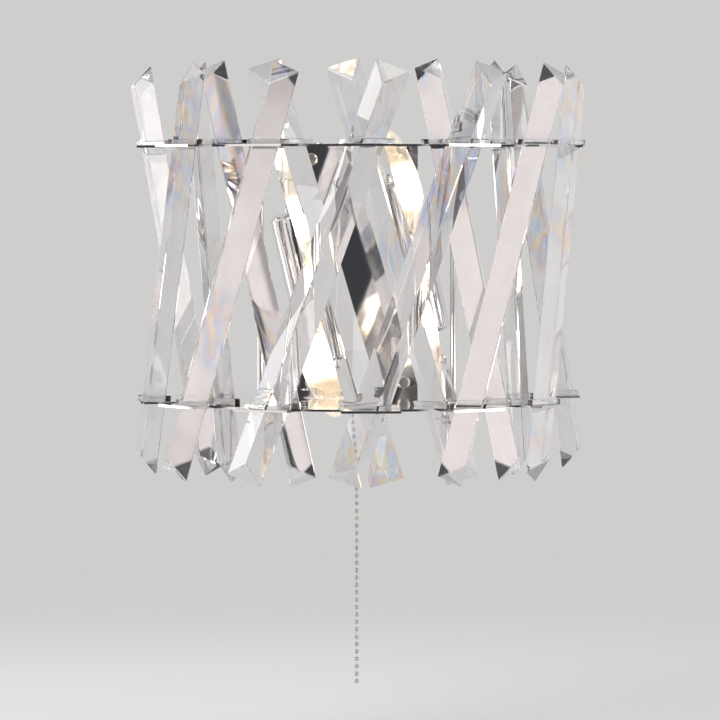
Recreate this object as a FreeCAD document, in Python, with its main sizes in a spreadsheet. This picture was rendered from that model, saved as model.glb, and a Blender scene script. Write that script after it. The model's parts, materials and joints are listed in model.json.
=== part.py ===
import FreeCAD, Part
import math
import os

import Sketcher

# Crystal wall sconce. Millimetres, +Z up, wall plane at y = 0, the light stands out to -Y and +X is
# the viewer's right. The origin is the middle of the wall bracket's two fixing slots.

Vector = FreeCAD.Vector
Rotation = FreeCAD.Rotation
Placement = FreeCAD.Placement
X_AXIS, Y_AXIS, Z_AXIS = Vector(1, 0, 0), Vector(0, 1, 0), Vector(0, 0, 1)
OVERCUT = 1.0
SIDES = {"left": -1, "right": 1}

DIMENSIONS = [
    # crystal bars: triangular prisms, flat side inward, ridge outward, both ends mitred
    ("bar_width", 25.2, "width of a bar's flat side"),
    ("bar_depth", 13.0, "from the flat side to the ridge"),
    ("bar_length", 295.5, "length of the flat side"),
    ("bar_miter", 45.0, "slant of the cut ends, degrees"),
    ("bar_lift", 2.4, "middle of the bars above the middle of the plates"),
    ("outer_radius", 137.5, "ring axis to the outer bars' flat sides"),
    ("outer_lean", 20.2, "lean of the outer bars, top to the right, degrees"),
    ("outer_step", 28.0, "angle between the front outer bars, degrees"),
    ("inner_radius", 102.8, "ring axis to the inner bars' flat sides"),
    ("inner_lean", 16.8, "lean of the inner bars, top to the left, degrees"),
    ("inner_step", 29.5, "angle between the inner bars, degrees"),
    ("side_inset", 10.5, "the two side bars' flat sides inside the outer bars' radius"),
    ("side_lean", 19.8, "lean of the side bars, degrees"),
    ("side_place", 93.6, "place of the side bars round the ring, degrees"),
    ("side_facing", 60.0, "way the side bars face, degrees"),
    # ring plates
    ("axis_depth", 92.0, "wall to the ring axis"),
    ("plate_gap", 175.0, "clear height between the two plates"),
    ("plate_thickness", 1.5, "ring plate"),
    ("disc_radius", 138.0, "plate edge between the tabs"),
    ("tab_reach", 156.0, "ring axis to a tab's outer edge"),
    ("tab_width", 40.0, "tab round one outer bar"),
    ("plate_back", 7.0, "wall to the plates' rear edge"),
    ("slot_margin", 0.6, "plate slot beyond the bar"),
    ("clip_margin", 2.2, "clear collar beyond the bar"),
    ("clip_bore", 0.15, "collar bore beyond the bar"),
    ("clip_height", 3.5, "clear collar above the plate"),
    ("bulb_hole", 21.0, "radius of the hole a bulb tip looks through"),
    # back box with its mirror front
    ("box_width", 86.0, "back box"),
    ("box_depth", 40.0, "back box, wall to front wall"),
    ("box_wall", 1.2, "back box sheet"),
    ("box_flange", 13.0, "front wall above and below the window"),
    ("box_lip", 2.0, "front wall beside the window"),
    ("mirror_thickness", 1.2, "mirror plate"),
    ("mirror_screw_side", 10.0, "mirror plate screws from the plate's sides"),
    ("mirror_screw_end", 8.0, "mirror plate screws from the plate's ends"),
    # wall bracket
    ("bracket_height", 140.0, "wall strap"),
    ("bracket_thickness", 1.6, "wall strap"),
    ("bracket_gap", 0.3, "strap and its ears inside the box walls"),
    ("ear_height", 30.0, "bent ears of the strap"),
    ("ear_depth", 22.0, "bent ears of the strap"),
    ("side_screw_y", 14.0, "wall to the side screws"),
    ("slot_spacing", 75.1, "fixing slots, middle to middle"),
    ("slot_length", 13.0, "fixing slot end to end"),
    ("slot_radius", 2.3, "half the fixing slot's width"),
    ("cable_hole", 8.0, "radius of the mains hole"),
    ("bushing_bore", 5.5, "radius of the mains bushing's bore"),
    # support rods
    ("rod_radius", 2.5, "support rod"),
    ("rod_x", 69.0, "support rods from the middle"),
    ("rod_y", 34.0, "wall to the support rods"),
    # screws
    ("shank_radius", 1.5, "all screw shanks"),
    ("shank_play", 0.1, "screw shank in its hole"),
    ("head_radius", 4.6, "mirror and plate screw heads"),
    ("head_height", 2.4, "mirror and plate screw heads"),
    ("screw_length", 8.0, "screw shank under its head"),
    ("plate_screw_side", 15.0, "plate screws from the sides of the box"),
    ("plate_screw_y", 20.0, "wall to the plate screws"),
    ("cap_radius", 3.6, "cap screws on the rods"),
    ("cap_height", 4.0, "cap screws on the rods"),
    # lamp holders: distances run from the closed end of the sleeve towards the bulb
    ("lamp_x", 49.0, "closed end of a sleeve from the middle"),
    ("lamp_z", 42.0, "closed end of a sleeve from the middle"),
    ("lamp_lean", 13.0, "lean of the lamps, degrees"),
    ("sleeve_radius", 15.0, "outside of the sleeve"),
    ("sleeve_length", 70.0, "sleeve"),
    ("sleeve_wall", 0.8, "sleeve"),
    ("sleeve_round", 4.0, "rounding of the closed end"),
    ("finial_radius", 3.2, "cap nut on the closed end"),
    ("finial_length", 6.0, "cap nut on the closed end"),
    ("socket_start", 40.0, "back of the ceramic socket"),
    ("socket_gap", 0.1, "ceramic socket in the sleeve"),
    ("socket_mouth", 68.0, "front of the ceramic socket"),
    ("socket_floor", 44.0, "bottom of the socket's bore"),
    ("shell_radius", 8.6, "inside of the screw shell"),
    ("shell_wall", 0.35, "screw shell"),
    ("contact_radius", 3.0, "centre contact"),
    ("contact_height", 1.2, "centre contact"),
    ("arm_side", 10.0, "foot of a lamp arm from the sides of the box"),
    ("arm_along", 15.0, "where the arm meets the sleeve"),
    ("arm_radius", 4.2, "lamp arm tube"),
    ("arm_bore", 2.6, "lamp arm tube"),
    ("foot_radius", 7.0, "foot of a lamp arm"),
    ("foot_height", 5.0, "foot of a lamp arm"),
    ("nut_radius", 7.5, "nut behind the mirror plate"),
    ("nut_height", 3.0, "nut behind the mirror plate"),
    ("cable_radius", 1.6, "two-core lamp cable"),
    # bulbs
    ("bulb_cap_radius", 8.3, "screw cap"),
    ("bulb_cap_gap", 0.3, "cap tip to the centre contact"),
    ("bulb_length", 147.0, "closed end of the sleeve to the bulb's tip"),
    ("bulb_neck", 70.0, "closed end of the sleeve to the glass neck"),
    ("bulb_belly", 97.0, "closed end of the sleeve to the widest glass"),
    ("bulb_radius", 17.0, "widest glass"),
    ("bulb_wall", 0.8, "glass"),
    ("filament_at", 103.0, "closed end of the sleeve to the filament"),
    ("filament_span", 13.0, "distance between the filament's posts"),
    # pull switch and bead chain
    ("switch_y", 22.0, "wall to the chain"),
    ("switch_width", 20.0, "switch case"),
    ("switch_height", 34.0, "switch case"),
    ("switch_wall", 1.5, "switch case"),
    ("plunger_radius", 5.0, "collar of the plunger"),
    ("plunger_collar", 3.0, "height of the collar"),
    ("stem_radius", 1.4, "stem of the plunger"),
    ("spring_radius", 4.2, "return spring, middle of the wire"),
    ("spring_wire", 0.4, "radius of the spring wire"),
    ("spring_turns", 7.0, "turns of the return spring"),
    ("bell_radius", 3.4, "threaded neck of the chain bell"),
    ("bell_bore", 2.3, "bore of the chain bell"),
    ("bell_mouth", 6.0, "mouth of the chain bell"),
    ("bell_length", 12.0, "chain bell below the box"),
    ("bead_radius", 1.6, "bead"),
    ("bead_pitch", 5.35, "bead to bead"),
    ("link_radius", 0.45, "wire between two beads"),
    ("link_play", 0.15, "wire end to a bead it swings on"),
    ("chain_bottom", 298.0, "middle of the plates to the chain's lowest point"),
    ("terminal_width", 26.0, "terminal block"),
    ("terminal_height", 14.0, "terminal block"),
    ("terminal_depth", 16.0, "terminal block"),
    ("terminal_x", 22.0, "terminal block from the middle"),
    ("terminal_z", 22.0, "terminal block above the middle"),
]

BAR_STEPS = (-2.5, -1.5, -0.5, 0.5, 1.5, 2.5)
CHAIN_BEADS = {"chain_top": 6, "chain_middle": 13, "chain_lower": 23}

doc = FreeCAD.newDocument("CrystalSconce")
sheet = doc.addObject("Spreadsheet::Sheet", "dims")
for row, (alias, value, meaning) in enumerate(DIMENSIONS, start=1):
    sheet.set(f"A{row}", meaning)
    sheet.set(f"B{row}", str(value))
    sheet.setAlias(f"B{row}", alias)
doc.recompute()
D = {alias: float(sheet.get(alias)) for alias, value, meaning in DIMENSIONS}

nodes = []


# ---------------------------------------------------------------- building blocks

def node(shape_object, label):
    """Give a finished sub-part its name and put it on the list that is written out."""
    shape_object.Label = label
    nodes.append(shape_object)
    return shape_object


def bound(kind, name, sizes, placement=Placement()):
    """A parametric primitive whose sizes are formulas on the sheet."""
    shape_object = doc.addObject(kind, name)
    for prop, formula in sizes.items():
        shape_object.setExpression(prop, formula)
    shape_object.Placement = placement
    return shape_object


def rod(name, radius, length, start, direction=Z_AXIS):
    return bound("Part::Cylinder", name, {"Radius": radius, "Height": length},
                 Placement(start, Rotation(Z_AXIS, direction)))


def block(name, width, depth, height, corner):
    return bound("Part::Box", name, {"Length": width, "Width": depth, "Height": height},
                 Placement(corner, Rotation()))


def fused(name, pieces):
    shape_object = doc.addObject("Part::MultiFuse", name)
    shape_object.Shapes = pieces
    return shape_object


def grouped(name, pieces):
    shape_object = doc.addObject("Part::Compound", name)
    shape_object.Links = pieces
    return shape_object


def cut(name, base, tools):
    shape_object = doc.addObject("Part::Cut", name)
    shape_object.Base = base
    shape_object.Tool = tools[0] if len(tools) == 1 else grouped(name + "_tools", tools)
    return shape_object


def plain(name, shape):
    """A sub-part whose shape comes from Part's own functions, on sizes read from the sheet."""
    shape_object = doc.addObject("Part::Feature", name)
    shape_object.Shape = shape
    return shape_object


def turned(name, profile, placement=Placement()):
    """A body turned about its own Z axis; the profile's corners are (radius, height) formulas."""
    body = doc.addObject("PartDesign::Body", name)
    plane = [item for item in body.Origin.OriginFeatures if item.Role == "XZ_Plane"][0]
    sketch = body.newObject("Sketcher::SketchObject", name + "_profile")
    sketch.AttachmentSupport = [(plane, "")]
    sketch.MapMode = "FlatFace"
    corners = [Vector(float(body.evalExpression(r)), float(body.evalExpression(z)), 0)
               for r, z in profile]
    count = len(corners)
    for index in range(count):
        sketch.addGeometry(Part.LineSegment(corners[index], corners[(index + 1) % count]))
    for index in range(count):
        sketch.addConstraint(Sketcher.Constraint("Coincident", index, 2, (index + 1) % count, 1))
    for index, (r, z) in enumerate(profile):
        for kind, formula, value in (("DistanceX", r, corners[index].x),
                                     ("DistanceY", z, corners[index].y)):
            item = sketch.addConstraint(Sketcher.Constraint(kind, -1, 1, index, 1, value))
            sketch.setExpression(f"Constraints[{item}]", formula)
    spin = body.newObject("PartDesign::Revolution", name + "_turn")
    spin.Profile = sketch
    spin.ReferenceAxis = (sketch, ["V_Axis"])
    spin.Angle = 360
    body.Placement = placement
    return body


def bent_tube(points, radius):
    """A round tube along straight runs joined by tangent arcs."""
    points = [Vector(*point) for point in points]
    share = 0.45
    edges = []
    here = points[0]
    for before, corner, after in zip(points, points[1:], points[2:]):
        run_in, run_out = corner - before, after - corner
        reach = share * min(run_in.Length, run_out.Length)
        start = corner - run_in.normalize() * reach
        end = corner + run_out.normalize() * reach
        bend = run_in.getAngle(run_out)
        bulge = reach * (1 / math.cos(bend / 2) - 1) / math.tan(bend / 2)
        middle = corner + (run_out - run_in).normalize() * bulge
        edges.append(Part.LineSegment(here, start).toShape())
        edges.append(Part.Arc(start, middle, end).toShape())
        here = end
    edges.append(Part.LineSegment(here, points[-1]).toShape())
    path = Part.Wire(edges)
    circle = Part.Circle(points[0], points[1] - points[0], radius).toShape()
    return path.makePipeShell([Part.Wire(circle)], True, False)


def screw(position, direction, head_radius, head_height, length):
    """A pan-head screw with a cross recess; the head sits on position and faces direction."""
    shank = D["shank_radius"]
    recess_width, recess_depth = 0.22 * head_radius, 0.55 * head_height
    turn = Rotation(Z_AXIS, direction)
    head = Part.makeCylinder(head_radius, head_height)
    rim = [edge for edge in head.Edges
           if abs(edge.CenterOfMass.z - head_height) < 1e-6 and isinstance(edge.Curve, Part.Circle)]
    head = head.makeFillet(0.6 * head_height, rim)
    for long_x, long_y in ((head_radius, recess_width), (recess_width, head_radius)):
        slot = Part.makeBox(long_x, long_y, recess_depth + OVERCUT,
                            Vector(-long_x / 2, -long_y / 2, head_height - recess_depth))
        head = head.cut(slot)
    body = head.fuse(Part.makeCylinder(shank, length + OVERCUT, Vector(0, 0, -length)))
    body = body.removeSplitter()
    body.Placement = Placement(position, turn)
    return body


# ---------------------------------------------------------------- places

def ring_point(radius, angle, height=0.0):
    """A point round the ring axis; angle 0 faces the viewer and grows to the right."""
    turn = math.radians(angle)
    return Vector(radius * math.sin(turn), -D["axis_depth"] - radius * math.cos(turn), height)


def bar_placement(radius, place, facing, lean):
    """Place of a bar: flat side on the radius, leaning in the plane that it faces from."""
    along_bar = D["bar_lift"] / math.cos(math.radians(lean))
    turn = Rotation(Z_AXIS, facing).multiply(Rotation(Y_AXIS, lean))
    middle = ring_point(radius, place) + turn.multVec(Z_AXIS) * along_bar
    flip = Rotation(Z_AXIS, 180)
    return Placement(middle, turn.multiply(flip))


def crossing_angle(radius, place, facing, lean, height):
    """Angle round the ring at which a leaning bar passes a height."""
    bar_line = bar_placement(radius, place, facing, lean)
    along = bar_line.Rotation.multVec(Z_AXIS)
    here = bar_line.Base + along * ((height - bar_line.Base.z) / along.z)
    return math.degrees(math.atan2(here.x, -here.y - D["axis_depth"]))


def lamp_placement(side):
    """Frame of a lamp: origin at the sleeve's closed end, Z towards the bulb's tip."""
    sign = SIDES[side]
    lean = math.radians(D["lamp_lean"])
    direction = Vector(-sign * math.sin(lean), 0, sign * math.cos(lean))
    start = Vector(sign * D["lamp_x"], -D["axis_depth"], -sign * D["lamp_z"])
    return Placement(start, Rotation(Z_AXIS, direction))


# Radius and lean of each ring of bars, with each bar's place round it and the way it faces.
RINGS = {
    "outer": (D["outer_radius"], D["outer_lean"],
              [(step * D["outer_step"], step * D["outer_step"]) for step in BAR_STEPS]),
    "inner": (D["inner_radius"], -D["inner_lean"],
              [(step * D["inner_step"], step * D["inner_step"]) for step in BAR_STEPS]),
    "side": (D["outer_radius"] - D["side_inset"], -D["side_lean"],
             [(sign * D["side_place"], sign * D["side_facing"]) for sign in SIDES.values()]),
}
TOP = D["plate_gap"] / 2
BOTTOM = -TOP
MIRROR_FRONT = -(D["box_depth"] + D["mirror_thickness"])
BOX_SIDE = D["box_width"] / 2
ARM_X = BOX_SIDE - D["arm_side"]
PLATE_SCREW_X = BOX_SIDE - D["plate_screw_side"]
MIRROR_SCREW_X, MIRROR_SCREW_Z = BOX_SIDE - D["mirror_screw_side"], TOP - D["mirror_screw_end"]


# ---------------------------------------------------------------- crystal bars

def bar(name, ring, number, margin="0"):
    """One triangular bar, or the same form grown by a margin on all sides of its section."""
    radius, lean, bars = RINGS[ring]
    place, facing = bars[number - 1]
    slope = "(dims.bar_width / 2 / dims.bar_depth)"
    grown = f"({margin} * (sqrt(1 + {slope}^2) + {slope}))"
    ridge = f"(dims.bar_depth + {margin} * sqrt(1 + {slope}^2) / {slope})"
    shorter = f"({ridge} * tan(dims.bar_miter * 1 deg))"
    sizes = {"Xmin": f"-dims.bar_width / 2 - {grown}", "Xmax": f"dims.bar_width / 2 + {grown}",
             "Ymin": f"-{margin}", "Ymax": ridge,
             "Zmin": "-dims.bar_length / 2", "Zmax": "dims.bar_length / 2",
             "X2min": "0", "X2max": "0",
             "Z2min": f"-dims.bar_length / 2 + {shorter}",
             "Z2max": f"dims.bar_length / 2 - {shorter}"}
    return bound("Part::Wedge", name, sizes, bar_placement(radius, place, facing, lean))


def crystal_bars():
    for ring, (radius, lean, bars) in RINGS.items():
        for number in range(1, len(bars) + 1):
            node(bar(f"{ring}_bar_{number}", ring, number), f"{ring}_crystal_{number}")


def grown_bars(name, rings, margin):
    """All bars of the given rings, grown by a margin, as one cutting tool."""
    pieces = [bar(f"{name}_{ring}_{number}", ring, number, margin)
              for ring in rings for number in range(1, len(RINGS[ring][2]) + 1)]
    return grouped(name, pieces)


def bar_clips():
    """Clear collars that hold each bar where it passes through a plate."""
    seats = {"top": TOP + D["plate_thickness"], "bottom": BOTTOM}
    for ring in RINGS:
        for level, seat in seats.items():
            name = f"{ring}_clips_{level}"
            reach = D["tab_reach"] * 2
            slab = block(name + "_slab", "dims.tab_reach * 4", "dims.tab_reach * 4",
                         "dims.clip_height", Vector(-reach, -D["axis_depth"] - reach, seat))
            collars = doc.addObject("Part::Common", name + "_collars")
            collars.Base = slab
            collars.Tool = grown_bars(name + "_outside", [ring], "dims.clip_margin")
            bores = grown_bars(name + "_bores", [ring], "dims.clip_bore")
            node(cut(name + "_ring", collars, [bores]), name)


# ---------------------------------------------------------------- ring plates

def ring_plate(level):
    """A polished plate: a disc with one straight-edged tab round each outer and side bar."""
    height = {"top": TOP, "bottom": BOTTOM - D["plate_thickness"]}[level]
    middle = height + D["plate_thickness"] / 2
    name = f"{level}_plate"
    thick = "dims.plate_thickness"
    pieces = [rod(name + "_disc", "dims.disc_radius", thick, ring_point(0, 0, height))]
    crossings = [crossing_angle(RINGS[ring][0], place, facing, RINGS[ring][1], middle)
                 for ring in ("outer", "side") for place, facing in RINGS[ring][2]]
    for number, crossing in enumerate(crossings, start=1):
        turn = Rotation(Z_AXIS, crossing)
        corner = ring_point(0, 0, height) + turn.multVec(Vector(-D["tab_width"] / 2, 0, 0))
        tab = bound("Part::Box", f"{name}_tab_{number}",
                    {"Length": "dims.tab_width", "Width": "dims.tab_reach", "Height": thick})
        tab.Placement = Placement(
            corner + turn.multVec(Vector(0, -D["tab_reach"], 0)), turn)
        pieces.append(tab)
    behind = block(name + "_behind", "dims.tab_reach * 4", "dims.axis_depth", "dims.tab_reach",
                   Vector(-2 * D["tab_reach"], -D["plate_back"], height - D["tab_reach"] / 2))
    slots = grown_bars(name + "_slots", list(RINGS), "dims.slot_margin")
    lamp = {"top": "right", "bottom": "left"}[level]
    start = lamp_placement(lamp)
    direction = start.Rotation.multVec(Z_AXIS)
    tip = start.Base + direction * ((middle - start.Base.z) / direction.z)
    over = f"{thick} + {2 * OVERCUT}"
    drills = [rod(name + "_bulb_hole", "dims.bulb_hole", over,
                  Vector(tip.x, tip.y, height - OVERCUT))]
    for side, sign in SIDES.items():
        drills.append(rod(f"{name}_rod_hole_{side}", "dims.shank_radius + dims.shank_play", over,
                          Vector(sign * D["rod_x"], -D["rod_y"], height - OVERCUT)))
        drills.append(rod(f"{name}_screw_hole_{side}", "dims.shank_radius + dims.shank_play", over,
                          Vector(sign * PLATE_SCREW_X, -D["plate_screw_y"], height - OVERCUT)))
    if level == "bottom":
        drills.append(rod(name + "_bell_hole", "dims.bell_radius + dims.shank_play", over,
                          Vector(0, -D["switch_y"], height - OVERCUT)))
    outline = cut(name + "_outline", fused(name + "_sheet", pieces), [behind])
    slotted = cut(name + "_slotted", outline, [slots])
    node(cut(name + "_drilled", slotted, drills), name)


def plate_screws():
    """Two screws through each plate into the back box."""
    shapes = []
    for sign in SIDES.values():
        x, y = sign * PLATE_SCREW_X, -D["plate_screw_y"]
        for height, direction in ((TOP + D["plate_thickness"], Z_AXIS),
                                  (BOTTOM - D["plate_thickness"], -Z_AXIS)):
            shapes.append(screw(Vector(x, y, height), direction, D["head_radius"],
                                D["head_height"], D["screw_length"]))
    node(plain("plate_screw_set", Part.Compound(shapes)), "plate_screws")


def support_rods():
    """Two rods between the plates, held by a cap screw at each end."""
    caps = []
    for side, sign in SIDES.items():
        x, y = sign * D["rod_x"], -D["rod_y"]
        bar_stock = rod(f"{side}_rod", "dims.rod_radius", "dims.plate_gap", Vector(x, y, BOTTOM))
        drills = []
        for height, direction in ((TOP, Z_AXIS), (BOTTOM, -Z_AXIS)):
            start = Vector(x, y, height) + direction * OVERCUT
            drills.append(rod(f"{side}_rod_bore_{height > 0}", "dims.shank_radius + dims.shank_play",
                              f"dims.screw_length + {2 * OVERCUT}", start, -direction))
            seat = Vector(x, y, height) + direction * D["plate_thickness"]
            caps.append(screw(seat, direction, D["cap_radius"], D["cap_height"],
                              D["screw_length"]))
        node(cut(f"{side}_rod_bored", bar_stock, drills), f"support_rod_{side}")
    node(plain("rod_cap_set", Part.Compound(caps)), "rod_cap_screws")


# ---------------------------------------------------------------- back box and bracket

def back_box():
    """A box open to the wall, with a window in its front wall behind the mirror plate."""
    wide, wall = D["box_width"], D["box_wall"]
    outside = block("box_outside", "dims.box_width", "dims.box_depth", "dims.plate_gap",
                    Vector(-wide / 2, -D["box_depth"], BOTTOM))
    inside = block("box_inside", "dims.box_width - 2 * dims.box_wall", "dims.box_depth",
                   "dims.plate_gap - 2 * dims.box_wall",
                   Vector(-wide / 2 + wall, -D["box_depth"] + wall, BOTTOM + wall))
    window = block("box_window", "dims.box_width - 2 * dims.box_lip", "dims.box_wall * 3",
                   "dims.plate_gap - 2 * dims.box_flange",
                   Vector(-wide / 2 + D["box_lip"], -D["box_depth"] - wall,
                          BOTTOM + D["box_flange"]))
    hole = "dims.shank_radius + dims.shank_play"
    drills = [rod("box_bell_hole", "dims.bell_radius + dims.shank_play", "dims.box_wall * 3",
                  Vector(0, -D["switch_y"], BOTTOM - wall))]
    for side, sign in SIDES.items():
        drills.append(rod(f"box_side_hole_{side}", hole, "dims.box_wall * 4",
                          Vector(sign * (wide / 2 + wall), -D["side_screw_y"], 0),
                          Vector(-sign, 0, 0)))
        for height, start in ((TOP, TOP + wall), (BOTTOM, BOTTOM + 2 * wall)):
            drills.append(rod(f"box_plate_hole_{side}_{height > 0}", hole, "dims.box_wall * 3",
                              Vector(sign * PLATE_SCREW_X, -D["plate_screw_y"],
                                     start), -Z_AXIS))
        for up in (-1, 1):
            drills.append(rod(f"box_mirror_hole_{side}_{up > 0}", hole, "dims.box_wall * 3",
                              Vector(sign * MIRROR_SCREW_X, -D["box_depth"] - wall,
                                     up * MIRROR_SCREW_Z), Y_AXIS))
    shell = cut("box_shell", outside, [inside])
    framed = cut("box_framed", shell, [window])
    node(cut("box_drilled", framed, drills), "back_box")


def mirror_plate():
    """The polished plate on the front of the box, with its four screws."""
    sheet_metal = block("mirror_sheet", "dims.box_width", "dims.mirror_thickness", "dims.plate_gap",
                        Vector(-D["box_width"] / 2, MIRROR_FRONT, BOTTOM))
    drills, screws = [], []
    for side, sign in SIDES.items():
        for up in (-1, 1):
            x, z = sign * MIRROR_SCREW_X, up * MIRROR_SCREW_Z
            drills.append(rod(f"mirror_screw_hole_{side}_{up > 0}",
                              "dims.shank_radius + dims.shank_play", "dims.mirror_thickness * 3",
                              Vector(x, MIRROR_FRONT - D["mirror_thickness"], z), Y_AXIS))
            screws.append(screw(Vector(x, MIRROR_FRONT, z), -Y_AXIS, D["head_radius"],
                                D["head_height"], D["screw_length"]))
        foot = arm_foot(side)
        drills.append(rod(f"mirror_arm_hole_{side}", "dims.arm_radius + dims.shank_play",
                          "dims.mirror_thickness * 3",
                          foot - Y_AXIS * D["mirror_thickness"], Y_AXIS))
    node(cut("mirror_drilled", sheet_metal, drills), "mirror_plate")
    node(plain("mirror_screw_set", Part.Compound(screws)), "mirror_screws")


def wall_bracket():
    """The strap that is screwed to the wall, with two bent ears for the box."""
    inner = D["box_width"] / 2 - D["box_wall"] - D["bracket_gap"]
    width = "dims.box_width - 2 * dims.box_wall - 2 * dims.bracket_gap"
    thick = D["bracket_thickness"]
    pieces = [block("bracket_strap", width, "dims.bracket_thickness", "dims.bracket_height",
                    Vector(-inner, -thick, -D["bracket_height"] / 2))]
    drills = []
    for side, sign in SIDES.items():
        edge = -inner if sign < 0 else inner - thick
        pieces.append(block(f"bracket_ear_{side}", "dims.bracket_thickness", "dims.ear_depth",
                            "dims.ear_height", Vector(edge, -D["ear_depth"], -D["ear_height"] / 2)))
        drills.append(rod(f"bracket_ear_hole_{side}", "dims.shank_radius + dims.shank_play",
                          "dims.bracket_thickness * 3",
                          Vector(sign * (inner + thick), -D["side_screw_y"], 0),
                          Vector(-sign, 0, 0)))
    through = "dims.bracket_thickness * 3"
    drills.append(rod("bracket_cable_hole", "dims.cable_hole", through,
                      Vector(0, -2 * thick, 0), Y_AXIS))
    drills.append(rod("bracket_earth_hole", "dims.shank_radius + dims.shank_play", through,
                      Vector(-D["terminal_x"], -2 * thick, D["terminal_z"]), Y_AXIS))
    for up in (-1, 1):
        middle = up * D["slot_spacing"] / 2
        half_run = D["slot_length"] / 2 - D["slot_radius"]
        ends = [rod(f"bracket_slot_end_{up}_{end}", "dims.slot_radius", through,
                    Vector(0, -2 * thick, middle + end * half_run), Y_AXIS) for end in (-1, 1)]
        between = block(f"bracket_slot_run_{up}", "2 * dims.slot_radius", through,
                        "dims.slot_length - 2 * dims.slot_radius",
                        Vector(-D["slot_radius"], -2 * thick, middle - half_run))
        drills.append(fused(f"bracket_slot_{up}", ends + [between]))
    node(cut("bracket_drilled", fused("bracket_sheet", pieces), drills), "wall_bracket")


def side_screws():
    """Two screws that hang the box on the bracket's ears."""
    shapes = [screw(Vector(sign * D["box_width"] / 2, -D["side_screw_y"], 0), Vector(sign, 0, 0),
                    D["head_radius"], D["head_height"], D["screw_length"])
              for sign in SIDES.values()]
    node(plain("side_screw_set", Part.Compound(shapes)), "side_screws")


def mains_bushing():
    """A rubber bushing in the bracket's cable hole, flush with the wall."""
    lip = 1.8
    profile = [("dims.bushing_bore", "0"), ("dims.cable_hole - 0.1", "0"),
               ("dims.cable_hole - 0.1", "dims.bracket_thickness"),
               (f"dims.cable_hole + {lip}", "dims.bracket_thickness"),
               (f"dims.cable_hole + {lip}", f"dims.bracket_thickness + {lip}"),
               ("dims.bushing_bore", f"dims.bracket_thickness + {lip}")]
    node(turned("bushing", profile, Placement(Vector(), Rotation(Z_AXIS, -Y_AXIS))),
         "cable_bushing")


def terminal_block():
    """The terminal block on the strap, with four screw wells, and the earth screw beside it."""
    well_radius, well_depth = 2.2, 5.0
    corner = Vector(D["terminal_x"] - D["terminal_width"] / 2,
                    -D["bracket_thickness"] - D["terminal_depth"],
                    D["terminal_z"] - D["terminal_height"] / 2)
    case = block("terminal_case", "dims.terminal_width", "dims.terminal_depth",
                 "dims.terminal_height", corner)
    wells = []
    for across in (-1, 1):
        for up in (-1, 1):
            wells.append(rod(f"terminal_well_{across}_{up}", str(well_radius), str(well_depth),
                             Vector(D["terminal_x"] + across * D["terminal_width"] / 4, corner.y,
                                    D["terminal_z"] + up * D["terminal_height"] / 4), Y_AXIS))
    node(cut("terminal_welled", case, wells), "terminal_block")
    earth = screw(Vector(-D["terminal_x"], -D["bracket_thickness"], D["terminal_z"]), -Y_AXIS,
                  D["cap_radius"], D["cap_height"] / 2, D["bracket_thickness"] / 2)
    node(plain("earth_screw_set", earth), "earth_screw")


# ---------------------------------------------------------------- lamps

def arm_foot(side):
    """Where the lamp arm stands on the mirror plate."""
    frame = lamp_placement(side)
    seat = frame.multVec(Vector(0, 0, D["arm_along"]))
    return Vector(SIDES[side] * ARM_X, MIRROR_FRONT, seat.z)


def lamp_sleeve(side):
    """The polished sleeve, closed behind, and the cap nut on its closed end."""
    frame = lamp_placement(side)
    inside = "dims.sleeve_radius - dims.sleeve_wall"
    soft = "dims.sleeve_round * 0.3"
    profile = [("0", "0"), ("dims.sleeve_radius - dims.sleeve_round", "0"),
               (f"dims.sleeve_radius - {soft}", soft),
               ("dims.sleeve_radius", "dims.sleeve_round"),
               ("dims.sleeve_radius", "dims.sleeve_length"), (inside, "dims.sleeve_length"),
               (inside, "dims.sleeve_round"),
               (f"{inside} - {soft}", f"dims.sleeve_wall + {soft}"),
               (f"{inside} - dims.sleeve_round", "dims.sleeve_wall"), ("0", "dims.sleeve_wall")]
    cup = turned(f"sleeve_cup_{side}", profile, frame)
    seat = frame.multVec(Vector(0, 0, D["arm_along"]))
    inward = (arm_foot(side) - seat).normalize()
    bore = rod(f"sleeve_bore_{side}", "dims.arm_bore", "dims.sleeve_radius * 2", seat, inward)
    node(cut(f"sleeve_bored_{side}", cup, [bore]), f"lamp_sleeve_{side}")
    tip = "-dims.finial_length"
    nut = [("0", "0"), ("dims.finial_radius", "0"), ("dims.finial_radius", f"{tip} * 0.5"),
           ("dims.finial_radius * 0.7", f"{tip} * 0.85"), ("dims.finial_radius * 0.25", tip),
           ("0", tip)]
    node(turned(f"finial_{side}", nut, frame), f"sleeve_cap_nut_{side}")


def lamp_socket(side):
    """The ceramic socket with its screw shell and centre contact."""
    frame = lamp_placement(side)
    outside = "dims.sleeve_radius - dims.sleeve_wall - dims.socket_gap"
    bore = "dims.shell_radius + dims.shell_wall"
    body = [("0", "dims.socket_start"), (outside, "dims.socket_start"),
            (outside, "dims.socket_mouth"), (bore, "dims.socket_mouth"),
            (bore, "dims.socket_floor"), ("0", "dims.socket_floor")]
    node(turned(f"socket_body_{side}", body, frame), f"socket_{side}")
    rim = 1.5
    shell = [("dims.shell_radius", "dims.socket_floor"), (bore, "dims.socket_floor"),
             (bore, f"dims.socket_mouth - {rim}"),
             ("dims.shell_radius", f"dims.socket_mouth - {rim}")]
    contact = [("0", "dims.socket_floor"), ("dims.contact_radius", "dims.socket_floor"),
               ("dims.contact_radius * 0.6", "dims.socket_floor + dims.contact_height"),
               ("0", "dims.socket_floor + dims.contact_height")]
    pieces = [turned(f"shell_{side}", shell, frame), turned(f"contact_{side}", contact, frame)]
    node(grouped(f"contacts_{side}", pieces), f"socket_contacts_{side}")


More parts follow.
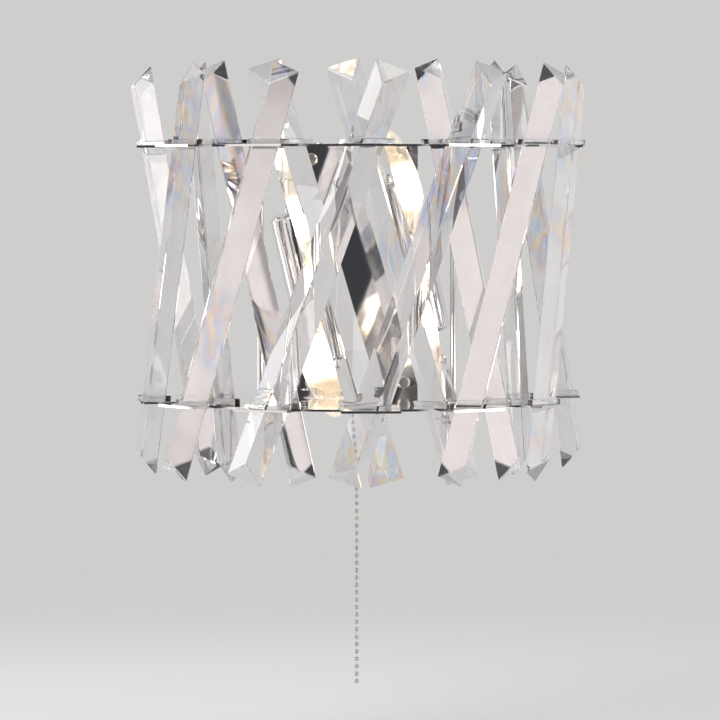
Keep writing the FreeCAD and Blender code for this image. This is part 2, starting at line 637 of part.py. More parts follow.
def lamp_arm(side):
    """The tube that carries a sleeve from the mirror plate, and brings its cable."""
    frame = lamp_placement(side)
    seat = frame.multVec(Vector(0, 0, D["arm_along"]))
    foot = arm_foot(side)
    outward = (seat - foot).normalize()
    reach = (seat - foot).Length
    thread = D["mirror_thickness"] + D["nut_height"]
    pieces = [Part.makeCylinder(D["foot_radius"], D["foot_height"], foot, -Y_AXIS),
              Part.makeCylinder(D["arm_radius"], thread + D["foot_height"],
                                foot - Y_AXIS * D["foot_height"], Y_AXIS),
              Part.makeCylinder(D["arm_radius"], reach, foot, outward)]
    shape = pieces[0].fuse(pieces[1:]).removeSplitter()
    behind = Part.makeBox(4 * D["foot_radius"], D["box_depth"], 4 * D["foot_radius"],
                          Vector(foot.x - 2 * D["foot_radius"], MIRROR_FRONT,
                                 foot.z - 2 * D["foot_radius"]))
    stud = Part.makeCylinder(D["arm_radius"], thread, foot, Y_AXIS)
    shape = shape.cut(behind).fuse(stud).removeSplitter()
    sleeve = Part.makeCylinder(D["sleeve_radius"], D["sleeve_length"])
    sleeve.Placement = frame
    straight = Part.makeCylinder(D["arm_bore"], thread + D["foot_height"],
                                 foot + Y_AXIS * (thread + OVERCUT), -Y_AXIS)
    slanted = Part.makeCylinder(D["arm_bore"], reach, foot, outward)
    shape = shape.cut([sleeve, straight, slanted])
    node(plain(f"arm_tube_{side}", shape), f"lamp_arm_{side}")


def arm_nuts():
    """Hexagon nuts behind the mirror plate."""
    shapes = []
    for side in SIDES:
        foot = arm_foot(side)
        corners = [Vector(D["nut_radius"] * math.cos(math.radians(60 * k)), 0,
                          D["nut_radius"] * math.sin(math.radians(60 * k))) for k in range(7)]
        hexagon = Part.Face(Part.makePolygon(corners)).extrude(Y_AXIS * D["nut_height"])
        hole = Part.makeCylinder(D["arm_radius"] + D["shank_play"], D["nut_height"] + 2 * OVERCUT,
                                 Vector(0, -OVERCUT, 0), Y_AXIS)
        nut = hexagon.cut(hole)
        nut.translate(foot + Y_AXIS * D["mirror_thickness"])
        shapes.append(nut)
    node(plain("arm_nut_set", Part.Compound(shapes)), "arm_nuts")


def lamp_cable(side):
    """The cable from the terminal block through the arm to the back of the socket."""
    straight_start, straight_in = 12.0, 18.0
    frame = lamp_placement(side)
    seat = frame.multVec(Vector(0, 0, D["arm_along"]))
    foot = arm_foot(side)
    sign = SIDES[side]
    start = Vector(D["terminal_x"] - sign * D["terminal_width"] / 4,
                   -D["bracket_thickness"] - D["terminal_depth"] / 2,
                   D["terminal_z"] - sign * D["terminal_height"] / 2)
    socket_back = frame.multVec(Vector(0, 0, D["socket_start"]))
    leave = start - Z_AXIS * sign * straight_start
    behind_nut = foot + Y_AXIS * straight_in
    return bent_tube([start, leave, behind_nut, foot, seat, socket_back], D["cable_radius"])


def lamp_cables():
    shapes = [lamp_cable(side) for side in SIDES]
    node(plain("lamp_cable_set", Part.Compound(shapes)), "lamp_cables")


# ---------------------------------------------------------------- bulbs

def bulb_outline(wall):
    """Edges of the glass from neck to tip at a distance inside the outer surface."""
    neck, belly, tip = D["bulb_neck"], D["bulb_belly"], D["bulb_length"] - wall
    neck_radius, belly_radius = D["bulb_cap_radius"] - 0.3 - wall, D["bulb_radius"] - wall
    shoulder = Part.BSplineCurve()
    rise = belly - neck
    points = [Vector(neck_radius, 0, neck), Vector(neck_radius + 0.3, 0, neck + 0.1 * rise),
              Vector(0.5 * (neck_radius + belly_radius), 0, neck + 0.45 * rise),
              Vector(belly_radius, 0, belly)]
    shoulder.interpolate(points, InitialTangent=Z_AXIS, FinalTangent=Z_AXIS)
    dome = Part.Ellipse(Vector(0, 0, tip), Vector(belly_radius, 0, belly), Vector(0, 0, belly))
    quarter = Part.ArcOfEllipse(dome, -math.pi / 2, 0)
    ends = quarter.value(-math.pi / 2), quarter.value(0)
    if (ends[0] - Vector(belly_radius, 0, belly)).Length > 1e-3:
        quarter = Part.ArcOfEllipse(dome, 0, math.pi / 2)
    return shoulder.toShape(), quarter.toShape()


def bulb(side):
    """A clear candle bulb: glass, screw cap and the filament on its posts."""
    frame = lamp_placement(side)
    outside, inside = bulb_outline(0.0), bulb_outline(D["bulb_wall"])
    bottom = D["bulb_neck"]
    edges = list(outside) + list(inside)
    neck_radii = [D["bulb_cap_radius"] - 0.3 - wall for wall in (D["bulb_wall"], 0.0)]
    edges.append(Part.LineSegment(Vector(neck_radii[0], 0, bottom),
                                  Vector(neck_radii[1], 0, bottom)).toShape())
    tip = D["bulb_length"]
    edges.append(Part.LineSegment(Vector(0, 0, tip - D["bulb_wall"]), Vector(0, 0, tip)).toShape())
    wire = Part.Wire(Part.__sortEdges__(edges))
    glass = Part.Face(wire).revolve(Vector(), Z_AXIS, 360)
    glass = Part.Solid(glass) if glass.ShapeType == "Shell" else glass
    glass.Placement = frame
    node(plain(f"glass_{side}", glass), f"bulb_glass_{side}")

    tip_at = "dims.socket_floor + dims.contact_height + dims.bulb_cap_gap"
    cap = [("0", tip_at), ("dims.contact_radius", tip_at),
           ("dims.contact_radius", f"{tip_at} + 1"), ("dims.bulb_cap_radius - 1.5", f"{tip_at} + 4"),
           ("dims.bulb_cap_radius", f"{tip_at} + 5"), ("dims.bulb_cap_radius", "dims.bulb_neck"),
           ("0", "dims.bulb_neck")]
    node(turned(f"cap_{side}", cap, frame), f"bulb_cap_{side}")
    node(plain(f"filament_parts_{side}", filament(frame)), f"bulb_filament_{side}")


def filament(frame):
    """The glass stem, two lead posts and the coiled wire between them, drawn as a bent wire."""
    stem_radius, post_radius, wire_radius = 3.0, 0.35, 0.22
    neck, top = D["bulb_neck"], D["filament_at"]
    stem_top = neck + 0.5 * (top - neck)
    half = D["filament_span"] / 2
    stem = Part.makeCone(stem_radius * 1.6, stem_radius * 0.6, stem_top - neck, Vector(0, 0, neck))
    posts = []
    for sign in (-1, 1):
        foot = Vector(sign * stem_radius * 0.4, 0, stem_top - 1)
        head = Vector(sign * half, 0, top)
        posts.append(Part.makeCylinder(post_radius, (head - foot).Length, foot, head - foot))
    loop = [Vector(-half, 0, top), Vector(-half * 0.5, 0, top + 5), Vector(0, 0, top + 1.5),
            Vector(half * 0.5, 0, top + 5), Vector(half, 0, top)]
    lit_wire = bent_tube(loop, wire_radius)
    shape = stem.fuse(posts + [lit_wire]).removeSplitter()
    shape.Placement = frame
    return shape


# ---------------------------------------------------------------- pull switch and chain

SWITCH_FLOOR = BOTTOM + D["box_wall"]
COLLAR_TOP = SWITCH_FLOOR + D["switch_height"] - D["switch_wall"] - 0.4
COLLAR_BOTTOM = COLLAR_TOP - D["plunger_collar"]
LAST_BEAD = -D["chain_bottom"] + D["bead_radius"]
BEAD_HEIGHTS = [LAST_BEAD + index * D["bead_pitch"]
                for index in reversed(range(sum(CHAIN_BEADS.values())))]


def pull_switch():
    """The switch case on the floor of the box, hollow for its plunger and spring."""
    half = D["switch_width"] / 2
    case = block("switch_case", "dims.switch_width", "dims.switch_width", "dims.switch_height",
                 Vector(-half, -D["switch_y"] - half, SWITCH_FLOOR))
    well = rod("switch_well", "dims.plunger_radius + 0.4",
               "dims.switch_height - 2 * dims.switch_wall",
               Vector(0, -D["switch_y"], SWITCH_FLOOR + D["switch_wall"]))
    exit_hole = rod("switch_exit", "dims.bell_bore", "dims.switch_wall * 3",
                    Vector(0, -D["switch_y"], SWITCH_FLOOR - D["switch_wall"]))
    node(cut("switch_hollow", case, [well, exit_hole]), "pull_switch")


def chain_bell():
    """The flared guide under the box and the nut that holds it on the plate."""
    top, low = "0", "-dims.bell_length"
    lip = 0.8
    profile = [("dims.bell_bore", top), ("dims.bell_radius", top),
               ("dims.bell_radius", f"{low} * 0.5"), ("dims.bell_mouth", f"{low} * 0.92"),
               ("dims.bell_mouth", low), (f"dims.bell_mouth - {lip}", low),
               ("dims.bell_bore", f"{low} * 0.62")]
    seat = Vector(0, -D["switch_y"], SWITCH_FLOOR)
    node(turned("bell", profile, Placement(seat, Rotation())), "chain_bell")
    plate_under = "-dims.box_wall - dims.plate_thickness"
    nut = [("dims.bell_radius + dims.shank_play", plate_under),
           ("dims.bell_radius + 2.6", plate_under),
           ("dims.bell_radius + 2.6", f"{plate_under} - 2"),
           ("dims.bell_radius + dims.shank_play", f"{plate_under} - 2")]
    node(turned("bell_ring_nut", nut, Placement(seat, Rotation())), "bell_nut")


def return_spring():
    """The coil spring between the case's floor and the plunger's collar."""
    low = SWITCH_FLOOR + D["switch_wall"] + D["spring_wire"] + 0.1
    high = COLLAR_BOTTOM - D["spring_wire"] - 0.1
    steps_a_turn = 12
    steps = round(D["spring_turns"] * steps_a_turn)
    points = [Vector(D["spring_radius"] * math.cos(2 * math.pi * step / steps_a_turn),
                     D["spring_radius"] * math.sin(2 * math.pi * step / steps_a_turn),
                     (high - low) * step / steps) for step in range(steps + 1)]
    line = Part.BSplineCurve()
    line.interpolate(points)
    circle = Part.Circle(points[0], line.tangent(0)[0], D["spring_wire"]).toShape()
    coil = Part.Wire(line.toShape()).makePipeShell([Part.Wire(circle)], True, False)
    coil.translate(Vector(0, -D["switch_y"], low))
    node(plain("spring_coil", coil), "return_spring")


def plunger():
    """The collar and stem that the chain pulls down."""
    stem_end = BEAD_HEIGHTS[0] + D["bead_radius"]
    profile = [("0", f"{stem_end - COLLAR_TOP}"), ("dims.stem_radius", f"{stem_end - COLLAR_TOP}"),
               ("dims.stem_radius", "-dims.plunger_collar"),
               ("dims.plunger_radius", "-dims.plunger_collar"), ("dims.plunger_radius", "0"),
               ("0", "0")]
    place = Placement(Vector(0, -D["switch_y"], COLLAR_TOP), Rotation())
    node(turned("plunger_stem", profile, place), "switch_plunger")


def bead_run(name, first, last):
    """Beads first to last on one wire; a run hung on another ends just short of that bead."""
    centre = Vector(0, -D["switch_y"], 0)
    beads = [Part.makeSphere(D["bead_radius"], centre + Z_AXIS * height)
             for height in BEAD_HEIGHTS[first:last]]
    top = BEAD_HEIGHTS[first]
    if first > 0:
        top = BEAD_HEIGHTS[first - 1] - D["bead_radius"] - D["link_play"]
    bottom = BEAD_HEIGHTS[last - 1]
    wire = Part.makeCylinder(D["link_radius"], top - bottom, centre + Z_AXIS * bottom)
    node(plain(name + "_run", wire.fuse(beads).removeSplitter()), name)


def bead_chain():
    first = 0
    for name, count in CHAIN_BEADS.items():
        bead_run(name, first, first + count)
        first += count


# ---------------------------------------------------------------- assembly

crystal_bars()
bar_clips()
ring_plate("top")
ring_plate("bottom")
plate_screws()
support_rods()
back_box()
mirror_plate()
wall_bracket()
side_screws()
mains_bushing()
terminal_block()
for lamp in SIDES:
    lamp_sleeve(lamp)
    lamp_socket(lamp)
    lamp_arm(lamp)
    bulb(lamp)
arm_nuts()
lamp_cables()
pull_switch()
chain_bell()
return_spring()
plunger()
bead_chain()
doc.recompute()

for item in doc.Objects:
    if "Invalid" in item.State or "Error" in item.State:
        raise RuntimeError(f"{item.Label} failed: {item.State}")
for item in nodes:
    if item.Shape.isNull() or not item.Shape.isValid():
        raise RuntimeError(f"{item.Label} has no valid shape")

os.makedirs("parts", exist_ok=True)
for item in nodes:
    item.Shape.exportStep(f"parts/{item.Label}.step")
print(f"{len(nodes)} sub-parts written")
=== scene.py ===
import json
import math

import bmesh
import bpy
from mathutils import Matrix, Vector

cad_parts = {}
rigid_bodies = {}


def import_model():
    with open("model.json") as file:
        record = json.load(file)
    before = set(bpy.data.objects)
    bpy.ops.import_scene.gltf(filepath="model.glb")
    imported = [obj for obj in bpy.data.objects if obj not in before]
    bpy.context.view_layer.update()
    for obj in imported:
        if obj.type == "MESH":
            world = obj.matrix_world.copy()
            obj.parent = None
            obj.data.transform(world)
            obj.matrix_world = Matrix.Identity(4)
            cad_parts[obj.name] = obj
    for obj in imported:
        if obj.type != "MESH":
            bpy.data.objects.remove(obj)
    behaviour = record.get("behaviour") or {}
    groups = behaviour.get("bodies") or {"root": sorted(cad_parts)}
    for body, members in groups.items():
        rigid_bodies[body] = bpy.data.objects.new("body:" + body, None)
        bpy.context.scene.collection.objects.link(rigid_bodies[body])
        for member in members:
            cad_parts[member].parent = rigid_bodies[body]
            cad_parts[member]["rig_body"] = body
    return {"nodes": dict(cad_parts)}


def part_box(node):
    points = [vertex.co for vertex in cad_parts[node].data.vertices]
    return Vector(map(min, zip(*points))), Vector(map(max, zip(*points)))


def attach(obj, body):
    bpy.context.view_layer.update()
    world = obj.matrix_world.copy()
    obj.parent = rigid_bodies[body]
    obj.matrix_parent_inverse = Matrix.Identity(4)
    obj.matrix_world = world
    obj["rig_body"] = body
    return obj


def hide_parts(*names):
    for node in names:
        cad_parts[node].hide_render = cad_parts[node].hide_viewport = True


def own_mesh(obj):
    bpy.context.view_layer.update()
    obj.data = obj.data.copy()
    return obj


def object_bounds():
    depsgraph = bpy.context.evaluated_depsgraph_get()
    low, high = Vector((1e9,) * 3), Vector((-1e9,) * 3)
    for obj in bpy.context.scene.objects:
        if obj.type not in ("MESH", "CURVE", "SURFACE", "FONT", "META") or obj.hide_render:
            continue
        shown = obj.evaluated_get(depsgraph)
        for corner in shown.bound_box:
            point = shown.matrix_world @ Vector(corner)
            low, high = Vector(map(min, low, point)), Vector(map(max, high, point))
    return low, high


# Crystal wall sconce: leaning crystal bars between two polished ring plates, two candle bulbs in
# polished sleeves in front of a mirror plate, and a bead pull chain. Metres, +Z up, wall at y = 0.

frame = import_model()
NODES = frame["nodes"]
cad_low, cad_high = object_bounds()

SIDES = {"left": -1, "right": 1}
TURN_SEGMENTS = 96

# Lamps: distances run from the closed end of a sleeve towards the tip of its bulb.
RING_AXIS = Vector((0, -0.092, 0))
LAMP_X, LAMP_Z, LAMP_LEAN = 0.049, 0.042, math.radians(13)
SLEEVE_RADIUS, SLEEVE_LENGTH, SLEEVE_WALL, SLEEVE_ROUND = 0.015, 0.070, 0.0008, 0.004
FINIAL_RADIUS, FINIAL_LENGTH = 0.0032, 0.006
CAP_RADIUS, CAP_START, CAP_END = 0.0083, 0.0455, 0.070
THREAD_PITCH, THREAD_DEPTH = 0.0028, 0.0004
NECK_RADIUS, BELLY_RADIUS, BELLY_AT, BULB_TIP, GLASS_WALL = 0.008, 0.017, 0.097, 0.147, 0.0008
SHOULDER_STEPS, DOME_STEPS = 22, 30
FILAMENT_AT, FILAMENT_HALF, FILAMENT_RISE = 0.103, 0.0062, 0.0035
FILAMENT_TURNS, FILAMENT_COIL, FILAMENT_WIRE = 46, 0.00055, 0.00016
STEM_TOP, LEAD_WIRE = 0.0865, 0.00022

# Cap nut: its straight skirt and the groove in it.
NUT_SKIRT, NUT_GROOVE_AT, NUT_GROOVE_HALF = FINIAL_LENGTH * 0.35, 0.0009, 0.0003
NUT_GROOVE_RADIUS = FINIAL_RADIUS * 0.88

# Bulb cap: the shell is threaded between its insulator and a plain rim.
INSULATOR_LENGTH, INSULATOR_SEAT, PLAIN_RIM, SHELL_LIP, THREAD_ROWS = 0.005, 0.002, 0.002, 0.001, 60
CONTACT_RADIUS, CONTACT_HEIGHT = 0.0026, 0.0008

# Bead chain: how many beads each length has, and their size.
CHAIN_BEADS = {"chain_top": 6, "chain_middle": 13, "chain_lower": 23}
BEAD_RADIUS, BEAD_PITCH, LINK_RADIUS = 0.0016, 0.00535, 0.00045

# Return spring, and how far the chain pulls it together.
SPRING_TURNS, SPRING_WIRE, PULL_TRAVEL = 7, 0.0004, 0.008

# Clamp screws of the terminal block, at the bottom of its wells.
CLAMP_DEPTH, CLAMP_RADIUS, CLAMP_HEIGHT, CLAMP_TAPER = 0.0048, 0.0020, 0.0006, 0.85

# Ground edges of the crystal bars and of the clear collars.
BAR_ARRIS = 0.0007
CLIP_ARRIS = 0.0003

# Stage: the floor lies below the chain's end and fades out between two shares of its radius.
FLOOR_DROP, FLOOR_RADIUS, FLOOR_CORNERS, FLOOR_FADE = 0.05, 1.3, 64, (0.35, 0.98)
BACKDROP = (0.62, 0.615, 0.61)
FLOOR = (0.78, 0.775, 0.77)
AMBIENT = (0.60, 0.605, 0.61)

# What the metal and the glass mirror: a rosy room with shaded panels, a ceiling, a dark front.
ROOM = (0.95, 0.875, 0.855)
ROOM_SHADE = (0.42, 0.385, 0.38)
CEILING = (0.24, 0.24, 0.245)
DARK = (0.05, 0.05, 0.055)

# Softboxes: place, size, power and colour. They face the middle of the ring of bars.
SOFTBOXES = {
    "key": ((-1.1, -1.5, 1.2), (0.9, 0.9), 13, (1.0, 0.97, 0.95)),
    "fill": ((1.5, -1.1, 0.3), (0.5, 1.4), 5, (0.97, 0.97, 1.0)),
    "strip": ((-1.3, 0.4, 0.2), (0.25, 1.5), 4, (1.0, 0.98, 0.96)),
    "top": ((0.1, -0.3, 1.6), (1.0, 0.6), 8, (1.0, 1.0, 1.0)),
}

# Camera: place, height of the point that it looks at on the ring's axis, lens and sensor in mm.
CAMERA_PLACE, AIM_HEIGHT = (-0.0947, -2.7754, 0.0694), -0.0611
LENS, SENSOR = 191.9, 36.0


# ---------------------------------------------------------------- finishes

class Value:
    """A socket of a finish; arithmetic on it adds Math nodes."""

    def __init__(self, finish, socket):
        self.finish = finish
        self.socket = socket

    def __add__(self, other):
        return self.finish.maths("ADD", self, other)

    def __radd__(self, other):
        return self.finish.maths("ADD", other, self)

    def __sub__(self, other):
        return self.finish.maths("SUBTRACT", self, other)

    def __rsub__(self, other):
        return self.finish.maths("SUBTRACT", other, self)

    def __mul__(self, other):
        return self.finish.maths("MULTIPLY", self, other)

    def __rmul__(self, other):
        return self.finish.maths("MULTIPLY", other, self)

    def __abs__(self):
        return self.finish.maths("ABSOLUTE", self)


class Finish:
    """A material, or the world, and the nodes in it."""

    def __init__(self, name, owner=None):
        self.owner = owner or bpy.data.materials.new(name)
        self.owner.use_nodes = True
        self.tree = self.owner.node_tree
        self.tree.nodes.clear()

    def node(self, kind, settings=None, inputs=None, output=0):
        """Add a node with its settings and the values or links of its sockets; give an output."""
        made = self.tree.nodes.new(kind)
        for name, value in (settings or {}).items():
            if name == "stops":
                elements = made.color_ramp.elements
                while len(elements) < len(value):
                    elements.new(0.5)
                for element, (position, colour) in zip(elements, value):
                    element.position = position
                    element.color = (*colour, 1.0)
            else:
                setattr(made, name, value)
        for name, value in (inputs or {}).items():
            if isinstance(value, Value):
                self.tree.links.new(value.socket, made.inputs[name])
            else:
                made.inputs[name].default_value = value
        return Value(self, made.outputs[output]) if made.outputs else None

    def maths(self, operation, *terms):
        return self.node("ShaderNodeMath", {"operation": operation}, dict(enumerate(terms)))

    def place(self):
        return self.node("ShaderNodeTexCoord", output="Object")

    def height(self):
        return self.node("ShaderNodeSeparateXYZ", {}, {0: self.place()}, output="Z")

    def noise(self, scale, detail=3.0, stretch=(1.0, 1.0, 1.0)):
        mapped = self.node("ShaderNodeMapping", {}, {"Vector": self.place(), "Scale": stretch})
        return self.node("ShaderNodeTexNoise", {},
                         {"Vector": mapped, "Scale": scale, "Detail": detail})

    def ramp(self, factor, *stops):
        return self.node("ShaderNodeValToRGB", {"stops": stops}, {0: factor})

    def mask(self, factor, low, high):
        """0 below low, 1 above high."""
        return self.node("ShaderNodeMapRange", {"interpolation_type": "SMOOTHSTEP"},
                         {"Value": factor, "From Min": low, "From Max": high})

    def blend(self, factor, one, other):
        def colour(value):
            return value if isinstance(value, Value) else (*value, 1.0)
        return self.node("ShaderNodeMix", {"data_type": "RGBA"},
                         {0: factor, 6: colour(one), 7: colour(other)}, output=2)

    def bump(self, relief, distance, strength=1.0):
        return self.node("ShaderNodeBump", {},
                         {"Height": relief, "Distance": distance, "Strength": strength})

    def surface(self, **sockets):
        """A Principled surface; the names are its sockets' names with _ for a space."""
        named = {name.replace("_", " "): value for name, value in sockets.items()}
        return self.close(self.node("ShaderNodeBsdfPrincipled", {}, named))

    def close(self, shader):
        """Lead a shader to the output and give the finished material or world."""
        kind = "World" if isinstance(self.owner, bpy.types.World) else "Material"
        self.node(f"ShaderNodeOutput{kind}", {}, {"Surface": shader})
        return self.owner


def crystal():
    """Cut crystal: clear, faintly rosy, with weak spectral streaks painted into its colour as
    painted dispersion glints, where light would split in a bar.
    """
    finish = Finish("crystal_cut")
    drift = finish.noise(7.0, 1.0)
    # The rainbow bands in the glass colour are painted light: painted dispersion glints.
    streaks = finish.noise(60.0, 1.0, (1.6, 1.6, 0.22))
    painted_dispersion = finish.ramp(finish.maths("FRACT", streaks * 4.0 + finish.height() * 9.0),
                           (0.0, (1.0, 0.66, 0.44)), (0.16, (1.0, 0.92, 0.62)),
                           (0.34, (0.97, 0.975, 0.98)), (0.60, (0.52, 0.76, 1.0)),
                           (0.82, (0.74, 0.66, 0.97)), (1.0, (1.0, 0.66, 0.44)))
    # Where the painted dispersion glints show.
    patches = finish.mask(finish.noise(11.0, 1.0), 0.57, 0.66)
    clear = finish.blend(drift, (0.985, 0.965, 0.965), (0.97, 0.975, 0.985))
    return finish.surface(Base_Color=finish.blend(patches * 0.8, clear, painted_dispersion),
                          Roughness=finish.noise(60.0) * 0.02, IOR=1.56,
                          Transmission_Weight=0.96,
                          Normal=finish.bump(finish.noise(22.0, 1.0, (1.0, 1.0, 0.5)), 0.0006))


def clear_moulding():
    """Clear moulded collars, a little hazy and grey at their edges."""
    finish = Finish("clear_moulding")
    haze = finish.noise(90.0)
    return finish.surface(Base_Color=finish.blend(haze, (0.90, 0.91, 0.92), (0.97, 0.97, 0.97)),
                          Roughness=haze * 0.16 + 0.04, IOR=1.49, Transmission_Weight=1.0,
                          Normal=finish.bump(finish.noise(300.0), 0.00006))


def plated(name, bright, dull, polish, wear):
    """Plated metal: polish is its least roughness, wear what hairlines and handling add."""
    finish = Finish(name)
    handled = finish.noise(38.0, 4.0)
    hairlines = finish.noise(900.0, 2.0)
    return finish.surface(Base_Color=finish.blend(handled, bright, dull), Metallic=1.0,
                          Roughness=handled * wear + hairlines * wear * 0.5 + polish,
                          Normal=finish.bump(hairlines, 0.000012, 0.35))


def zinc():
    """Zinc-plated sheet: a faint yellow and blue cast in soft patches and a drawn grain."""
    finish = Finish("zinc_plating")
    patches = finish.noise(55.0, 3.0)
    grain = finish.noise(700.0, 2.0, (1.0, 1.0, 0.06))
    colour = finish.ramp(patches, (0.35, (0.60, 0.63, 0.68)), (0.52, (0.68, 0.69, 0.70)),
                         (0.66, (0.72, 0.69, 0.60)))
    return finish.surface(Base_Color=colour, Metallic=1.0, Roughness=grain * 0.18 + 0.24,
                          Normal=finish.bump(grain, 0.00003, 0.5))


def enamel():
    """Silver-grey enamel with a fine orange peel and flake."""
    finish = Finish("box_enamel")
    flake = finish.mask(finish.noise(2600.0, 1.0), 0.55, 0.7)
    return finish.surface(Base_Color=finish.blend(flake, (0.60, 0.61, 0.62), (0.76, 0.77, 0.78)),
                          Metallic=flake * 0.5 + 0.35, Roughness=finish.noise(40.0) * 0.12 + 0.3,
                          Coat_Weight=0.25, Normal=finish.bump(finish.noise(420.0), 0.00008, 0.5))


def moulded(name, colour, shade, gloss):
    """Moulded plastic or rubber with a fine spark-eroded grain and slight flow marks."""
    finish = Finish(name)
    flow = finish.noise(30.0, 4.0)
    grain = finish.noise(1100.0, 2.0)
    return finish.surface(Base_Color=finish.blend(flow, colour, shade),
                          Roughness=flow * 0.15 + gloss, Normal=finish.bump(grain, 0.00006))


def ceramic():
    """White steatite with tiny dark specks and a thin glaze."""
    finish = Finish("socket_steatite")
    specks = finish.mask(finish.noise(900.0, 1.0), 0.70, 0.76)
    body = finish.blend(finish.noise(60.0), (0.90, 0.89, 0.85), (0.84, 0.82, 0.77))
    return finish.surface(Base_Color=finish.blend(specks, body, (0.45, 0.40, 0.33)),
                          Roughness=finish.noise(140.0) * 0.15 + 0.22, Coat_Weight=0.4,
                          Normal=finish.bump(finish.noise(300.0), 0.00004))


def lamp_glass():
    """Clear blown glass that glows warm round its filament, most at the belly."""
    finish = Finish("bulb_glass_lit")
    streaks = finish.noise(45.0, 2.0, (1.0, 1.0, 0.25))
    warm = finish.blend(streaks, (1.0, 0.78, 0.50), (1.0, 0.90, 0.74))
    away = abs(finish.height() - FILAMENT_AT)
    glow = finish.blend(finish.mask(away + streaks * 0.010, 0.004, 0.024), warm,
                        (0.035, 0.026, 0.017))
    return finish.surface(Base_Color=finish.blend(streaks, (1.0, 0.985, 0.95), (0.97, 0.96, 0.93)),
                          Roughness=streaks * 0.03, IOR=1.47, Transmission_Weight=1.0,
                          Emission_Color=glow, Emission_Strength=2.2)


def stem_glass():
    """The pressed glass stem inside the bulb."""
    finish = Finish("stem_glass")
    return finish.surface(Base_Color=finish.blend(finish.noise(80.0), (0.95, 0.97, 0.95),
                                                  (0.88, 0.92, 0.90)),
                          Roughness=finish.noise(200.0) * 0.1, IOR=1.5, Transmission_Weight=1.0)


def hot_wire():
    """The lit coil, its heat colour varying at random along it."""
    finish = Finish("lit_tungsten")
    heat = finish.blend(finish.noise(160.0), (1.0, 0.62, 0.28), (1.0, 0.84, 0.56))
    return finish.surface(Base_Color=(0.25, 0.2, 0.16, 1.0), Roughness=0.5, Emission_Color=heat,
                          Emission_Strength=60.0)


BRIGHT_METALS = {
    "mirror_chrome": ((0.90, 0.905, 0.91), (0.84, 0.845, 0.85), 0.015, 0.03),
    "rod_chrome": ((0.88, 0.885, 0.89), (0.80, 0.805, 0.81), 0.04, 0.08),
    "screw_nickel": ((0.82, 0.81, 0.79), (0.70, 0.69, 0.66), 0.12, 0.16),
    "sleeve_chrome": ((0.90, 0.90, 0.905), (0.83, 0.83, 0.835), 0.03, 0.06),
    "socket_brass": ((0.83, 0.66, 0.33), (0.66, 0.48, 0.22), 0.18, 0.20),
    "bulb_cap": ((0.80, 0.76, 0.66), (0.68, 0.62, 0.48), 0.16, 0.20),
    "spring_steel": ((0.58, 0.59, 0.61), (0.46, 0.46, 0.47), 0.20, 0.15),
    "chain_metal": ((0.70, 0.69, 0.68), (0.52, 0.51, 0.49), 0.10, 0.14),
}
MOULDINGS = {
    "bushing_rubber": ((0.030, 0.030, 0.032), (0.055, 0.054, 0.052), 0.45),
    "terminal_plastic": ((0.86, 0.84, 0.78), (0.79, 0.77, 0.70), 0.32),
    "cable_sheath": ((0.86, 0.86, 0.84), (0.78, 0.78, 0.75), 0.38),
    "switch_plastic": ((0.82, 0.80, 0.75), (0.74, 0.72, 0.66), 0.40),
    "plunger_plastic": ((0.87, 0.87, 0.86), (0.80, 0.80, 0.78), 0.28),
}


def all_finishes():
    """A finish for each of the record's material slots."""
    made = {name: plated(name + "_worn", bright, dull, polish, wear)
            for name, (bright, dull, polish, wear) in BRIGHT_METALS.items()}
    made.update({name: moulded(name + "_grained", colour, shade, gloss)
                 for name, (colour, shade, gloss) in MOULDINGS.items()})
    made.update(crystal=crystal(), clear_clip=clear_moulding(), box_paint=enamel(),
                zinc_steel=zinc(), socket_ceramic=ceramic(), bulb_glass=lamp_glass(),
                filament=hot_wire())
    return made


SLOT_OF = {name: node.material_slots[0].material.name for name, node in NODES.items()}
FINISHES = all_finishes()
STEM_GLASS = stem_glass()
BLACK_GLASS = moulded("cap_insulator", (0.02, 0.02, 0.025), (0.04, 0.04, 0.05), 0.12)
TIN = plated("contact_tin", (0.72, 0.71, 0.69), (0.58, 0.57, 0.54), 0.25, 0.2)


# ---------------------------------------------------------------- mesh helpers

def stand_in(name, mesh, node, finish=None, place=Matrix.Identity(4), hides=True):
    """A piece that rides with a CAD node's body and usually takes that node's place."""
    piece = bpy.data.objects.new(name, mesh)
    bpy.context.scene.collection.objects.link(piece)
    mesh.materials.clear()
    mesh.materials.append(finish or FINISHES[SLOT_OF[node]])
    piece.matrix_world = place
    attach(piece, NODES[node]["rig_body"])
    if hides:
        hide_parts(node)
    return piece


def finished_mesh(name, work, smooth_angle=None):
    """A mesh from a bmesh; edges sharper than the angle stay crisp, with none all faces are flat."""
    bmesh.ops.recalc_face_normals(work, faces=work.faces)
    mesh = bpy.data.meshes.new(name)
    work.to_mesh(mesh)
    work.free()
    if smooth_angle is not None:
        mesh.shade_smooth()
        mesh.set_sharp_from_angle(angle=math.radians(smooth_angle))
    return mesh


def eased(node, arris):
    """The node's flat-sided form with a narrow ground arris along each edge."""
    work = bmesh.new()
    work.from_mesh(NODES[node].data)
    bmesh.ops.remove_doubles(work, verts=work.verts, dist=1e-6)
    bmesh.ops.dissolve_limit(work, angle_limit=math.radians(1), verts=work.verts, edges=work.edges)
    bmesh.ops.bevel(work, geom=list(work.edges), offset=arris, segments=1, profile=0.5,
                    affect="EDGES", clamp_overlap=True)
    return finished_mesh(node + "_eased", work)


